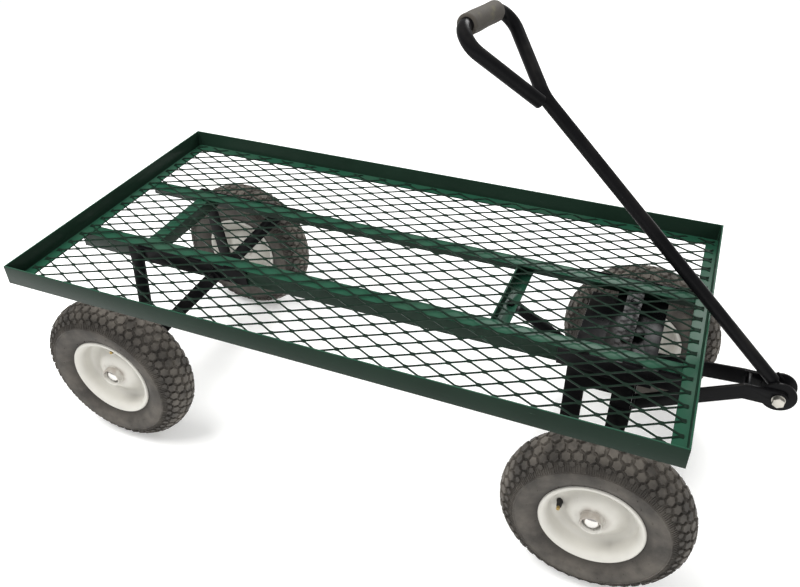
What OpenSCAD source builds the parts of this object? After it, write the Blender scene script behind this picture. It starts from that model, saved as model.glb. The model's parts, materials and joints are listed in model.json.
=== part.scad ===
// Garden cart: expanded-metal deck on angle-iron rails, fixed rear axle, front
// axle truck that swings on a king bolt, V tongue with a folding pull handle and
// four pneumatic wheels. Millimetres. +X is towards the tongue, +Y is the cart's
// left, +Z is up, z = 0 is the ground.

/* [Deck] */
// Outside length of the deck frame
deck_l = 1220; // [900:10:1600]
// Outside width of the deck frame
deck_w = 630; // [500:5:900]
// Height of the deck frame's top edge above the axles
deck_rise = 254; // [230:1:340]
// Height of the frame angle's upright leg
rim_h = 38; // [25:1:60]
// Width of the frame angle's flat leg
rim_leg = 25; // [18:1:40]
// Steel thickness of the frame, rails and cross bars
steel_t = 3; // [2:0.5:5]

/* [Expanded metal] */
// Long pitch of the diamonds, along the cart
mesh_long = 61.5; // [40:0.5:90]
// Short pitch of the diamonds, across the cart
mesh_short = 33.5; // [20:0.5:50]
// Width of one strand
strand_w = 3.4; // [2:0.1:6]
// Thickness of the expanded sheet
strand_t = 2.4; // [1.5:0.1:4]
// Shift of the diamond pattern towards the tongue
mesh_shift = 13; // [0:0.5:30]
// Gap between the sheet's edge and the frame's upright legs
mesh_gap = 6; // [3:0.5:12]

/* [Rails and cross bars] */
// Distance from the middle to a rail's outer face
rail_half = 120; // [90:1:170]
// Leg of the rail angle
rail_leg = 32; // [25:1:50]
// Leg of the cross bar angle
bar_leg = 28; // [20:1:32]
// Rear cross bar, ahead of the rear axle
rear_bar_dx = 9; // [0:1:40]
// Middle cross bar, behind the front axle
mid_bar_dx = 229; // [180:1:300]

/* [Axles and wheels] */
// Rear axle, in from the rear end of the deck
rear_inset = 149; // [120:1:220]
// Front axle, in from the front end of the deck
front_inset = 109; // [90:1:160]
// Distance between the middle planes of two wheels on one axle
track = 498; // [440:1:620]
// Axle diameter
axle_d = 16; // [12:0.5:22]
// Outside radius of a tyre
tyre_r = 161; // [130:1:190]
// Width of a tyre
tyre_w = 94; // [70:1:120]
// Radius of the bead seat on the rim
seat_r = 76; // [60:1:95]
// Half the width of the rim, to the middle of the flange
rim_half = 36; // [28:1:44]
// Sheet thickness of the rim halves
rim_t = 2; // [1.5:0.5:3]
// Outside radius of the wheel hub tube
hub_r = 19.5; // [18:0.5:24]
// Half the length of the wheel hub
hub_half = 36; // [30:1:42]
// Depth of the recess in the hub's outer end that holds the axle cap
cap_recess = 12; // [10:0.5:14]
// Radius of that recess
cap_recess_r = 16; // [15:0.25:17]
// Radial running clearance of hub, king bolt and handle pivot
run_gap = 0.05; // [0.02:0.01:0.1]

/* [Undercarriage] */
// Width of the flat bar used for posts and braces
strap_w = 30; // [20:1:40]
// Thickness of the flat bar
strap_t = 5; // [3:1:8]
// Length of the side bars on the rear of the rails
rear_side_l = 269; // [200:1:340]
// Where the rear side bar starts, behind the rear axle
rear_side_dx = 22; // [15:1:50]
// Where a rear brace meets its side bar, ahead of the axle
brace_dx = 183; // [120:1:230]
// How far the foot of a rear post stands outside its rail
post_splay = 22; // [5:1:40]
// Length of the side bars on the front of the rails
front_side_l = 214; // [160:1:240]
// Diameter of the king bolt
king_d = 16; // [12:1:20]
// Width of the diagonal brace that holds the king bolt's foot
king_brace_w = 28; // [20:1:28]
// Height of the king bolt's foot above the axle
king_foot = 75; // [50:1:90]

/* [Front truck] */
// Half distance between the truck's side frames
frame_half = 109; // [80:1:125]
// Distance of the rear leg's middle behind the king bolt
leg_back = 80; // [50:1:110]
// Width of a side frame leg
leg_w = 34; // [24:1:44]
// Reach of the handle pivot beyond the front of the deck
tongue_reach = 136; // [110:1:200]
// Height of the handle pivot above the axle
pivot_rise = 133; // [110:1:160]
// Height of a tongue strap
tongue_h = 30; // [22:1:40]
// Half the gap between the tongue's cheeks
cheek_half = 16.5; // [14:0.5:22]
// Thickness of a tongue strap
tongue_t = 6; // [4:1:8]
// Spread of one tongue strap from the middle line, in degrees
tongue_yaw = 14.5; // [8:0.5:18]
// Fall of the tongue straps towards the truck, in degrees
tongue_drop = 15; // [5:1:20]

/* [Handle] */
// Radius of the handle tube
tube_r = 11; // [9:0.5:14]
// Distance from the pivot to the foot of the hand loop
shaft_l = 640; // [450:1:760]
// Length of the hand loop, foot to grip
loop_l = 155; // [130:1:200]
// Half the width of the hand loop, to the tube's middle
loop_half = 85.5; // [75:0.5:105]
// Gap between the parked handle and the deck frame's top edge
park_gap = 4.8; // [3:0.5:20]
// Distance of the tube's middle line in front of the pivot
tube_shift = 5; // [0:0.5:8]
// Radius of the round fork plates at the handle's foot
fork_r = 29; // [22:1:36]
// Thickness of a fork plate
fork_t = 5; // [3:0.5:6]
// Diameter of the handle's pivot bolt
pivot_d = 12; // [10:1:14]
// Radius of the hand grip
grip_r = 16.5; // [14:0.5:22]
// Length of the hand grip
grip_l = 114; // [90:1:124]
// Slant of the hand grip from square to the shaft, in degrees
grip_tilt = 7.3; // [0:0.1:12]

/* [Hidden] */
eps = 0.01;
// heights
axle_z = tyre_r;
top_z = axle_z + deck_rise;
rim_z = top_z - rim_h;
rail_z = rim_z;
bar_z = rail_z - steel_t;
// the whole cart is centred on x = 0, from the rear tyre to the fork plates
front_reach = deck_l / 2 + tongue_reach + fork_r;
rear_reach = max(deck_l / 2, deck_l / 2 - rear_inset + tyre_r);
cx = -(front_reach - rear_reach) / 2;
rear_x = cx - deck_l / 2 + rear_inset;
front_x = cx + deck_l / 2 - front_inset;
pivot_x = cx + deck_l / 2 + tongue_reach;
pivot_z = axle_z + pivot_rise;
// the parked handle clears the front edge of the deck by park_gap
park_dx = tongue_reach;
park_dz = top_z - pivot_z;
park_d = sqrt(park_dx * park_dx + park_dz * park_dz);
lean = atan2(park_dz, park_dx) + asin((tube_r + park_gap - tube_shift) / park_d);
green = [0.07, 0.2, 0.13];
black = [0.03, 0.03, 0.03];
zinc = [0.75, 0.75, 0.72];

// box from its low corner to its high corner
module span(a, b) { translate(a) cube([b[0] - a[0], b[1] - a[1], b[2] - a[2]]); }
// rod and hexagon that lie along Y between two y values
module rod_y(x, z, r, y0, y1) {
  translate([x, y0, z]) rotate([-90, 0, 0]) cylinder(r = r, h = y1 - y0, $fn = 64);
}
module hex_y(x, z, af, y0, y1) {
  translate([x, y0, z]) rotate([-90, 30, 0]) cylinder(d = af / cos(30), h = y1 - y0, $fn = 6);
}
module hex_z(x, y, af, z0, z1) { translate([x, y, z0]) cylinder(d = af / cos(30), h = z1 - z0, $fn = 6); }
// the same piece on the left (s = 1) or mirrored to the right, and at the front or mirrored to the rear
module on_side(s) { if (s > 0) children(); else mirror([0, 1, 0]) children(); }
module on_end(s) { if (s > 0) children(); else translate([2 * cx, 0, 0]) mirror([1, 0, 0]) children(); }
// closed outline of a bent sheet of thickness t from its middle line
function dir(p, i) = let (a = p[max(i - 1, 0)], b = p[min(i + 1, len(p) - 1)]) (b - a) / norm(b - a);
function side(p, i) = [-dir(p, i)[1], dir(p, i)[0]];
function skin(p, t) = concat([for (i = [0:len(p) - 1]) p[i] + side(p, i) * t / 2],
  [for (i = [len(p) - 1:-1:0]) p[i] - side(p, i) * t / 2]);
// flat bar in a plane of constant y, between two points [x, z]
module flat_bar(a, b, w, t, y) {
  l = norm(b - a);
  translate([a[0], y, a[1]]) rotate([0, -atan2(b[1] - a[1], b[0] - a[0]), 0]) translate([0, 0, -w / 2])
    cube([l, t, w]);
}

// ---- deck ----
inside_y = deck_w / 2 - steel_t;
module side_rim(s) {
  color(green) on_side(s) union() {
    span([cx - deck_l / 2, inside_y, rim_z], [cx + deck_l / 2, deck_w / 2, top_z]);
    span([cx - deck_l / 2, deck_w / 2 - rim_leg, rim_z], [cx + deck_l / 2, inside_y + eps, rim_z + steel_t]);
  }
}
module end_rim(s) {
  x1 = cx + deck_l / 2;
  flat_y = deck_w / 2 - rim_leg;
  color(green) on_end(s) union() {
    span([x1 - steel_t, -inside_y, rim_z + steel_t], [x1, inside_y, top_z]);
    span([x1 - rim_leg, -flat_y, rim_z], [x1, flat_y, rim_z + steel_t]);
  }
}
module rim_left() { side_rim(1); }
module rim_right() { side_rim(-1); }
module rim_front() { end_rim(1); }
module rim_rear() { end_rim(-1); }
// diamonds cut in a flat sheet; a row of half-shifted diamonds lies between two rows
module deck_mesh() {
  sheet_l = deck_l - 2 * steel_t - 2 * mesh_gap;
  sheet_w = deck_w - 2 * steel_t - 2 * mesh_gap;
  a = mesh_long / 2;
  b = mesh_short / 2;
  cut_a = a - strand_w / 2 / sin(atan2(b, a));
  cut_b = b * cut_a / a;
  nx = floor((sheet_l / 2 + mesh_shift) / a);
  ny = floor((sheet_w / 2 - strand_w) / b) - 1;
  reach = sheet_l / 2 - strand_w - cut_a;
  color(green) translate([cx, 0, rim_z + steel_t]) linear_extrude(strand_t) difference() {
    square([sheet_l, sheet_w], center = true);
    for (i = [-nx:nx], j = [-ny:ny]) if ((i + j) % 2 == 0 && abs(i * a + mesh_shift) < reach)
      translate([i * a + mesh_shift, j * b]) polygon([[-cut_a, 0], [0, -cut_b], [cut_a, 0], [0, cut_b]]);
  }
}
rail_gap = 4;
module rail(s) {
  e = deck_l / 2 - rail_gap;
  color(green) on_side(s) union() {
    span([cx - e, rail_half - rail_leg, rail_z - steel_t], [cx + e, rail_half, rail_z]);
    span([cx - e, rail_half - steel_t, rail_z - rail_leg], [cx + e, rail_half, rail_z - steel_t + eps]);
  }
}
module rail_left() { rail(1); }
module rail_right() { rail(-1); }
// cross bars between the rails, and the bolts that go through them
bar_y = rail_half - steel_t;
rear_bar_x = rear_x + rear_bar_dx;
mid_bar_x = front_x - mid_bar_dx;
bolster_x = front_x - 17;
bolt_r = 4;
bolt_af = 13;
nut_h = 6.5;
mid_bolt_x = mid_bar_x + 1;
bolster_bolt_x = bolster_x + 2;
bolster_bolt_y = 58;
module bolt_hole(x, y, z0, z1) { translate([x, y, z0 - 1]) cylinder(r = bolt_r, h = z1 - z0 + 2, $fn = 32); }
module rear_crossbar() {
  x0 = rear_bar_x - bar_leg / 2;
  x1 = rear_bar_x + bar_leg / 2;
  color(green) union() {
    span([x0, -bar_y, bar_z - steel_t], [x1, bar_y, bar_z]);
    span([x1 - steel_t, -bar_y, bar_z - bar_leg], [x1, bar_y, bar_z - steel_t + eps]);
  }
}
module middle_crossbar() {
  x0 = mid_bar_x - bar_leg / 2;
  z0 = bar_z - bar_leg;
  color(green) difference() {
    union() {
      span([x0, -bar_y, z0], [x0 + steel_t, bar_y, bar_z]);
      span([x0, -bar_y, z0], [x0 + bar_leg, bar_y, z0 + steel_t]);
    }
    bolt_hole(mid_bolt_x, 0, z0, z0 + steel_t);
  }
}
module front_bolster() {
  x0 = bolster_x - bar_leg / 2;
  color(green) difference() {
    union() {
      span([x0, -bar_y, bar_z - steel_t], [x0 + bar_leg, bar_y, bar_z]);
      span([x0, -bar_y, bar_z - bar_leg], [x0 + steel_t, bar_y, bar_z - steel_t + eps]);
    }
    for (s = [-1, 1]) bolt_hole(bolster_bolt_x, s * bolster_bolt_y, bar_z - steel_t, bar_z);
  }
}

// ---- rear undercarriage ----
side_y = rail_half;
module rear_side_bar(s) {
  x0 = rear_x - rear_side_dx;
  color(black) on_side(s) span([x0, side_y, rail_z - rail_leg], [x0 + rear_side_l, side_y + strap_t, rail_z]);
}
module rear_side_bar_left() { rear_side_bar(1); }
module rear_side_bar_right() { rear_side_bar(-1); }
// post: upright on the side bar, then splayed out to an upright foot on the axle
post_y = side_y + strap_t;
plate_y = post_y + post_splay;
post_x = rear_x - rear_side_dx + 1;
foot_up = 18;
foot_down = 16;
module rear_post(s) {
  head_z = rail_z - rail_leg;
  foot_x = rear_x - strap_w / 2;
  color(black) on_side(s) union() {
    span([post_x, post_y, head_z], [post_x + strap_w, post_y + strap_t, rail_z]);
    hull() {
      span([post_x, post_y, head_z - 2], [post_x + strap_w, post_y + strap_t, head_z + 1]);
      span([foot_x, plate_y, axle_z + foot_up - 1],
        [foot_x + strap_w, plate_y + strap_t, axle_z + foot_up + 2]);
    }
    difference() {
      span([foot_x, plate_y, axle_z - foot_down], [foot_x + strap_w, plate_y + strap_t, axle_z + foot_up]);
      rod_y(rear_x, axle_z, axle_d / 2, plate_y - 1, plate_y + strap_t + 1);
    }
  }
}
module rear_post_left() { rear_post(1); }
module rear_post_right() { rear_post(-1); }
// brace: diagonal from the axle up to the side bar, where one bolt holds it
brace_z = rail_z - rail_leg / 2;
brace_bolt_x = rear_x + brace_dx - 10;
brace_bolt_z = brace_z - 8;
module rear_brace(s) {
  color(black) on_side(s) difference() {
    union() {
      flat_bar([rear_x + 2, axle_z + 2], [rear_x + brace_dx, brace_z], strap_w - 4, strap_t, post_y);
      translate([rear_x, post_y, axle_z]) rotate([-90, 0, 0])
        cylinder(r = strap_w / 2, h = strap_t, $fn = 48);
    }
    rod_y(rear_x, axle_z, axle_d / 2, post_y - 1, post_y + strap_t + 1);
    rod_y(brace_bolt_x, brace_bolt_z, bolt_r, post_y - 1, post_y + strap_t + 1);
  }
}
module rear_brace_left() { rear_brace(1); }
module rear_brace_right() { rear_brace(-1); }
// face of the hub's recess, where the cap's washer runs, and the end of each axle
seat_y = track / 2 + hub_half - cap_recess;
cap_gap = 0.5;
cap_washer = 2;
axle_end = seat_y + cap_gap + cap_washer;
module axle(x) { rod_y(x, axle_z, axle_d / 2, -axle_end, axle_end); }
module rear_axle() { color(black) axle(rear_x); }
// a short tube on an axle
module sleeve(x, wall, y0, y1) {
  difference() {
    rod_y(x, axle_z, axle_d / 2 + wall, y0, y1);
    rod_y(x, axle_z, axle_d / 2, y0 - 1, y1 + 1);
  }
}
// spacer sleeves on the rear axle between brace and post
module rear_axle_sleeves() {
  color(black) for (s = [-1, 1]) on_side(s) sleeve(rear_x, 4, post_y + strap_t, plate_y);
}
collar_y = track / 2 - hub_half - cap_gap;
collar_w = 10;
module collars(x) { color(zinc) for (s = [-1, 1]) on_side(s) sleeve(x, 6, collar_y - collar_w, collar_y); }
module rear_collars() { collars(rear_x); }
module front_collars() { collars(front_x); }
// washer and domed cap pressed on each end of an axle, sunk in the hub's recess
cap_r = cap_recess_r - 3;
dome = [[1, 0], [0.96, 0.25], [0.82, 0.54], [0.56, 0.81], [0.3, 0.94], [0, 1]];
cap_h = 8;
module caps(x) {
  color(zinc) for (s = [-1, 1]) on_side(s) translate([x, seat_y + cap_gap, axle_z]) rotate([-90, 0, 0])
    difference() {
      union() {
        cylinder(r = cap_r + 1, h = cap_washer, $fn = 64);
        translate([0, 0, cap_washer]) rotate_extrude($fn = 64)
          polygon(concat([[0, -eps], [cap_r, -eps]], [for (p = dome) [p[0] * cap_r, p[1] * cap_h]]));
      }
      translate([0, 0, -1]) cylinder(d = axle_d, h = cap_washer + 1, $fn = 64);
    }
}
module rear_caps() { caps(rear_x); }
module front_caps() { caps(front_x); }

// ---- fixed front parts ----
module front_side_bar(s) {
  x0 = front_x - 115;
  color(black) on_side(s)
    span([x0, side_y, rail_z - rail_leg], [x0 + front_side_l, side_y + strap_t, rail_z]);
}
module front_side_bar_left() { front_side_bar(1); }
module front_side_bar_right() { front_side_bar(-1); }
// fixed plate under the side bars, turning plate below it, king bolt through both
plate_t = 6;
turn_gap = 0.4;
fix_top = rail_z - rail_leg;
fix_bot = fix_top - plate_t;
turn_top = fix_bot - turn_gap;
turn_bot = turn_top - plate_t;
foot_z = axle_z + king_foot;
module fixed_plate() {
  half_w = side_y + strap_t;
  color(black) difference() {
    span([front_x - 50, -half_w, fix_bot], [front_x + 42, half_w, fix_top]);
    translate([front_x, 0, fix_bot - 1]) cylinder(d = king_d, h = plate_t + 2, $fn = 64);
    for (s = [-1, 1]) bolt_hole(bolster_bolt_x, s * bolster_bolt_y, fix_bot, fix_top);
  }
}
king_af = king_d * 1.45;
module king_bolt() {
  shank_z = foot_z - 14;
  color(zinc) union() {
    translate([front_x, 0, shank_z]) cylinder(d = king_d, h = fix_top + 1 - shank_z, $fn = 64);
    hex_z(front_x, 0, king_af, fix_top, fix_top + 9);
    hex_z(front_x, 0, king_af, foot_z - 12, foot_z);
  }
}
// flat bar with two bent tabs, from the middle cross bar down to the king bolt
module king_brace() {
  w = king_brace_w;
  z_tab = bar_z - bar_leg;
  xa = mid_bar_x + bar_leg / 2 + 4;
  xb = front_x - 34;
  color(black) difference() {
    union() {
      span([mid_bar_x - bar_leg / 2 + 2, -w / 2, z_tab - strap_t], [xa + 1, w / 2, z_tab]);
      translate([0, w / 2, 0]) rotate([90, 0, 0]) linear_extrude(w)
        polygon([[xa, z_tab], [xb + 2, foot_z + strap_t], [xb, foot_z], [xa, z_tab - strap_t]]);
      span([xb, -w / 2, foot_z], [front_x, w / 2, foot_z + strap_t]);
      translate([front_x, 0, foot_z]) cylinder(r = w / 2, h = strap_t, $fn = 64);
    }
    translate([front_x, 0, foot_z - 1]) cylinder(d = king_d, h = strap_t + 2, $fn = 64);
    bolt_hole(mid_bolt_x, 0, z_tab - strap_t, z_tab);
  }
}
// bolts of the fixed frame: middle cross bar, bolster and rear braces
module middle_bolt() {
  z0 = bar_z - bar_leg - strap_t;
  z1 = bar_z - bar_leg + steel_t;
  union() {
    translate([mid_bolt_x, 0, z0 - nut_h - 0.5]) cylinder(r = bolt_r, h = z1 - z0 + nut_h + 1.5, $fn = 32);
    hex_z(mid_bolt_x, 0, bolt_af, z1, z1 + 5);
    hex_z(mid_bolt_x, 0, bolt_af, z0 - nut_h, z0);
  }
}
module bolster_bolt(s) {
  y = s * bolster_bolt_y;
  union() {
    translate([bolster_bolt_x, y, fix_bot]) cylinder(r = bolt_r, h = bar_z - fix_bot + 0.5, $fn = 32);
    hex_z(bolster_bolt_x, y, bolt_af, fix_top, bar_z - steel_t);
    translate([bolster_bolt_x, y, bar_z]) cylinder(r = 7.5, h = 2.5, $fn = 48);
  }
}
module brace_bolt() {
  y = post_y + strap_t;
  union() {
    rod_y(brace_bolt_x, brace_bolt_z, bolt_r, post_y, y + 1);
    hex_y(brace_bolt_x, brace_bolt_z, bolt_af, y, y + 6);
  }
}
module frame_bolts() {
  color(zinc) {
    middle_bolt();
    for (s = [-1, 1]) bolster_bolt(s);
    for (s = [-1, 1]) on_side(s) brace_bolt();
  }
}

// ---- front truck ----
module turn_plate() {
  x0 = front_x - leg_back - leg_w / 2;
  half_w = frame_half + strap_t / 2;
  color(black) difference() {
    span([x0, -half_w, turn_bot], [front_x + 32, half_w, turn_top]);
    translate([front_x, 0, turn_bot - 1]) cylinder(r = king_d / 2 + run_gap, h = plate_t + 2, $fn = 64);
  }
}
// side frame: one plate with two legs, a chamfered window between them and the axle's hole
frame_down = 17;
foot_h = 32;
head_h = 36;
chamfer = 10;
module truck_frame(s) {
  x0 = front_x - leg_back - leg_w / 2;
  x1 = front_x + leg_w / 2;
  zb = axle_z - frame_down;
  zw = turn_bot - head_h;
  color(black) on_side(s) translate([0, frame_half + strap_t / 2, 0]) rotate([90, 0, 0])
    linear_extrude(strap_t) difference() {
      translate([x0, zb]) square([x1 - x0, turn_bot - zb]);
      polygon([[x0 + leg_w, zb + foot_h], [x1 - leg_w, zb + foot_h], [x1 - leg_w, zw],
        [x0 + leg_w + chamfer, zw], [x0 + leg_w, zw - chamfer]]);
      translate([front_x, axle_z]) circle(d = axle_d, $fn = 64);
    }
}
module truck_frame_left() { truck_frame(1); }
module truck_frame_right() { truck_frame(-1); }
// the tongue's straps run straight from the truck's cross bar to the fold, then as parallel cheeks
fold_x = pivot_x - 56;
cross_x = front_x + leg_w / 2;
tongue_l = fold_x - cross_x - steel_t;
cross_z = pivot_z - tongue_l * tan(tongue_drop);
cross_h = tongue_h + 8;
module truck_crossbar() {
  y0 = frame_half + strap_t / 2;
  z0 = cross_z - cross_h / 2;
  color(black) union() {
    span([cross_x, -y0, z0], [cross_x + steel_t, y0, z0 + cross_h]);
    for (s = [-1, 1]) on_side(s)
      span([cross_x - leg_w, y0, z0], [cross_x + steel_t, y0 + steel_t, z0 + cross_h]);
  }
}
module front_axle() { color(black) axle(front_x); }
module tongue_strap(s) {
  l = tongue_l / cos(tongue_yaw) / cos(tongue_drop) + 20;
  color(black) on_side(s) difference() {
    union() {
      span([fold_x - 2, cheek_half, pivot_z - tongue_h / 2],
        [pivot_x, cheek_half + tongue_t, pivot_z + tongue_h / 2]);
      rod_y(pivot_x, pivot_z, tongue_h / 2, cheek_half, cheek_half + tongue_t);
      intersection() {
        translate([fold_x, cheek_half, pivot_z]) rotate([0, 0, -tongue_yaw]) rotate([0, -tongue_drop, 0])
          translate([-l, 0, -tongue_h / 2]) cube([l + 2, tongue_t, tongue_h]);
        span([cross_x + steel_t, cheek_half - 5, 0], [fold_x + 3, frame_half, top_z]);
      }
    }
    rod_y(pivot_x, pivot_z, pivot_d / 2, cheek_half - 1, cheek_half + tongue_t + 1);
  }
}
module tongue_strap_left() { tongue_strap(1); }
module tongue_strap_right() { tongue_strap(-1); }
module tongue_spacer() {
  h = tongue_h / 2 - 1;
  color(black) span([fold_x + 5, -cheek_half, pivot_z - h], [fold_x + 10, cheek_half, pivot_z + h]);
}
// nuts behind the truck's cross bar, one at each strap
module tongue_bolts() {
  nut_y = cheek_half + tongue_l * tan(tongue_yaw) - 14;
  color(zinc) for (s = [-1, 1]) translate([cross_x - 8, s * nut_y, cross_z]) rotate([0, 90, 0])
    cylinder(d = bolt_af / cos(30), h = 8, $fn = 6);
}
pivot_af = 18;
pivot_nut = 7.5;
washer_t = 1.5;
module pivot_bolt() {
  y1 = cheek_half + tongue_t;
  color(zinc) union() {
    rod_y(pivot_x, pivot_z, pivot_d / 2, -y1 - 1, y1 + washer_t + pivot_nut + 1);
    for (s = [-1, 1]) on_side(s) union() {
      rod_y(pivot_x, pivot_z, 11, y1, y1 + washer_t);
      hex_y(pivot_x, pivot_z, pivot_af, y1 + washer_t - 0.1, y1 + washer_t + pivot_nut);
    }
  }
}

// ---- handle: built along +X from the pivot, then leaned back over the deck ----
module leaned() {
  translate([pivot_x, 0, pivot_z]) rotate([0, lean - 180, 0]) mirror([0, 0, 1]) children();
}
// two round plates with a bush between them; the tube is welded between the plates
module handle_fork() {
  bush_r = pivot_d / 2 + 4;
  outer = tube_r + fork_t;
  color(black) difference() {
    union() {
      for (y = [tube_r, -outer]) translate([pivot_x, y, pivot_z]) rotate([-90, 0, 0])
        cylinder(r = fork_r, h = fork_t, $fn = 96);
      rod_y(pivot_x, pivot_z, bush_r, -tube_r - eps, tube_r + eps);
    }
    rod_y(pivot_x, pivot_z, pivot_d / 2 + run_gap, -outer - 1, outer + 1);
  }
}
// path of the tube's middle line: shaft, foot bend, far side, far bend, grip,
// near bend and near side, whose end is welded beside the shaft
function arc(c, r, a0, a1, n) = [for (i = [0:n]) let (a = a0 + (a1 - a0) * i / n) c + r * [cos(a), sin(a)]];
grip_s = shaft_l + loop_l;
bend_r = 28;
foot_r = 40;
far_a = 38.5;
near_a = 27.1;
grip_slip = (loop_half - bend_r) * tan(grip_tilt);
far_c = [grip_s - bend_r - grip_slip, loop_half - bend_r];
near_c = [grip_s - bend_r + grip_slip, bend_r - loop_half];
far_p = far_c + bend_r * [-sin(far_a), cos(far_a)];
far_foot = far_p[0] - far_p[1] / tan(far_a);
near_p = near_c + bend_r * [-sin(near_a), -cos(near_a)];
near_end = near_p + [cos(near_a), -sin(near_a)] * (near_p[1] + 2 * tube_r + 0.2) / sin(near_a);
tube_foot = 25;
tube_path = concat([[tube_foot, 0]],
  arc([far_foot - foot_r * tan(far_a / 2), foot_r], foot_r, -90, far_a - 90, 6),
  arc(far_c, bend_r, 90 + far_a, grip_tilt, 14),
  arc(near_c, bend_r, grip_tilt, -90 - near_a, 13), [near_end]);
grip_c = (far_c + near_c) / 2 + bend_r * [cos(grip_tilt), sin(grip_tilt)];
// round tube along a flat path, with mitred rings at its corners
module tube_sweep(path, r, sides) {
  n = len(path);
  pts = [for (i = [0:n - 1]) let (
      back = dir([path[max(i - 1, 0)], path[max(i, 1)]], 1),
      ahead = i < n - 1 ? dir([path[i], path[i + 1]], 0) : back,
      mid = (back + ahead) / norm(back + ahead),
      w = r / (mid * ahead))
    for (k = [0:sides - 1]) let (a = 360 * k / sides)
      [path[i][0] - mid[1] * w * cos(a), path[i][1] + mid[0] * w * cos(a), tube_shift + r * sin(a)]];
  walls = [for (i = [0:n - 2], k = [0:sides - 1]) let (k2 = (k + 1) % sides)
    [i * sides + k, i * sides + k2, (i + 1) * sides + k2, (i + 1) * sides + k]];
  foot_end = [for (k = [sides - 1:-1:0]) k];
  loop_end = [for (k = [0:sides - 1]) (n - 1) * sides + k];
  polyhedron(pts, concat(walls, [foot_end, loop_end]));
}
module handle_tube() { color(black) leaned() tube_sweep(tube_path, tube_r, 20); }
module handle_grip() {
  color(black) leaned() translate([grip_c[0], grip_c[1], tube_shift])
    rotate([0, 0, grip_tilt]) rotate([-90, 0, 0])
    difference() {
      cylinder(r = grip_r, h = grip_l, center = true, $fn = 64);
      cylinder(r = tube_r, h = grip_l + 2, center = true, $fn = 64);
    }
}

// ---- wheels: axis along +Y, outer side towards +Y ----
function mirrored(p) = [for (q = p) [q[0], -q[1]]];
function reversed(p) = [for (i = [len(p) - 1:-1:0]) p[i]];
// casing: points [height above the bead seat, half width] as on a 161 mm tyre, scaled to its sizes
tyre_k = (tyre_r - seat_r) / 85;
width_k = tyre_w / 100;
rim_k = rim_half / 36;
tyre_bead = [[0.2, 27], [2.5, 31.2], [8, 33.6], [13, 33.3]];
tyre_wall = [[19, 40], [28, 46.5], [40, 50], [52, 49], [64, 43], [72.5, 36.5], [79, 28], [83.3, 15], [85, 0]];
tyre_in = [[76, 0], [74, 20], [67, 36], [54, 42], [40, 43], [28, 38], [19, 31], [12, 26], [4, 24], [0.2, 22]];
function casing(p, k) = [for (q = p) [seat_r + q[0] * tyre_k, q[1] * k]];
function but_last(p) = [for (i = [0:len(p) - 2]) p[i]];
function but_first(p) = [for (i = [1:len(p) - 1]) p[i]];
module tyre_solid() {
  outer = concat(casing(tyre_bead, rim_k), casing(tyre_wall, width_k));
  inner = casing(tyre_in, min(width_k, rim_k));
  rotate_extrude($fn = 128) polygon(concat(outer, reversed(mirrored(but_last(outer))),
    reversed(mirrored(but_first(inner))), inner));
}
// one rim half: middle line [radius, half width] from the rolled edge to the hub, as on a 76 mm seat
rim_line = [[88, 35.5], [84, 36], [78.5, 33.5], [75, 28], [75, 9], [68, 1], [58, 1], [47, 7],
  [33, 19], [26, 21.5]];
flange_from = 27;
valve_x = 57;
valve_r = 5;
module rim_solid() {
  seat_k = seat_r / 76;
  line = concat([for (q = rim_line) [q[0] * seat_k, q[1] > flange_from ? q[1] * rim_k : q[1]]],
    [[hub_r, 21.5]]);
  difference() {
    for (s = [0, 1]) mirror([0, 0, s]) rotate_extrude($fn = 128) polygon(skin(line, rim_t));
    translate([valve_x, 0, 0]) cylinder(r = valve_r, h = hub_half, $fn = 32);
  }
}
module hub_solid() {
  difference() {
    cylinder(r = hub_r, h = 2 * hub_half, center = true, $fn = 64);
    cylinder(r = axle_d / 2 + run_gap, h = 2 * hub_half + 2, center = true, $fn = 64);
    translate([0, 0, hub_half - cap_recess]) cylinder(r = cap_recess_r, h = cap_recess + 1, $fn = 64);
  }
}
module valve_solid() {
  translate([valve_x, 0, rim_t]) union() {
    cylinder(r = valve_r, h = 6, $fn = 32);
    translate([0, 0, 5]) cylinder(r = 3.4, h = 16, $fn = 32);
    translate([0, 0, 20]) cylinder(r = 3.9, h = 9, $fn = 24);
  }
}
module wheel_at(x, s) {
  rotate([0, 0, s > 0 ? 0 : 180]) translate([s * x, track / 2, axle_z]) rotate([-90, 0, 0]) children();
}
// each wheel's valve stands at its own angle, and its hole in the rim with it
module wheel_tyre(x, s) { color([0.12, 0.12, 0.11]) wheel_at(x, s) tyre_solid(); }
module wheel_rim(x, s, a) { color([0.8, 0.79, 0.74]) wheel_at(x, s) rotate([0, 0, a]) rim_solid(); }
module wheel_hub(x, s) { color(zinc) wheel_at(x, s) hub_solid(); }
module wheel_valve(x, s, a) { color(black) wheel_at(x, s) rotate([0, 0, a]) valve_solid(); }
fl_turn = 30;
fr_turn = 0;
rl_turn = 200;
rr_turn = -95;
module tyre_fl() { wheel_tyre(front_x, 1); }
module rim_fl() { wheel_rim(front_x, 1, fl_turn); }
module hub_fl() { wheel_hub(front_x, 1); }
module valve_fl() { wheel_valve(front_x, 1, fl_turn); }
module tyre_fr() { wheel_tyre(front_x, -1); }
module rim_fr() { wheel_rim(front_x, -1, fr_turn); }
module hub_fr() { wheel_hub(front_x, -1); }
module valve_fr() { wheel_valve(front_x, -1, fr_turn); }
module tyre_rl() { wheel_tyre(rear_x, 1); }
module rim_rl() { wheel_rim(rear_x, 1, rl_turn); }
module hub_rl() { wheel_hub(rear_x, 1); }
module valve_rl() { wheel_valve(rear_x, 1, rl_turn); }
module tyre_rr() { wheel_tyre(rear_x, -1); }
module rim_rr() { wheel_rim(rear_x, -1, rr_turn); }
module hub_rr() { wheel_hub(rear_x, -1); }
module valve_rr() { wheel_valve(rear_x, -1, rr_turn); }

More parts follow.
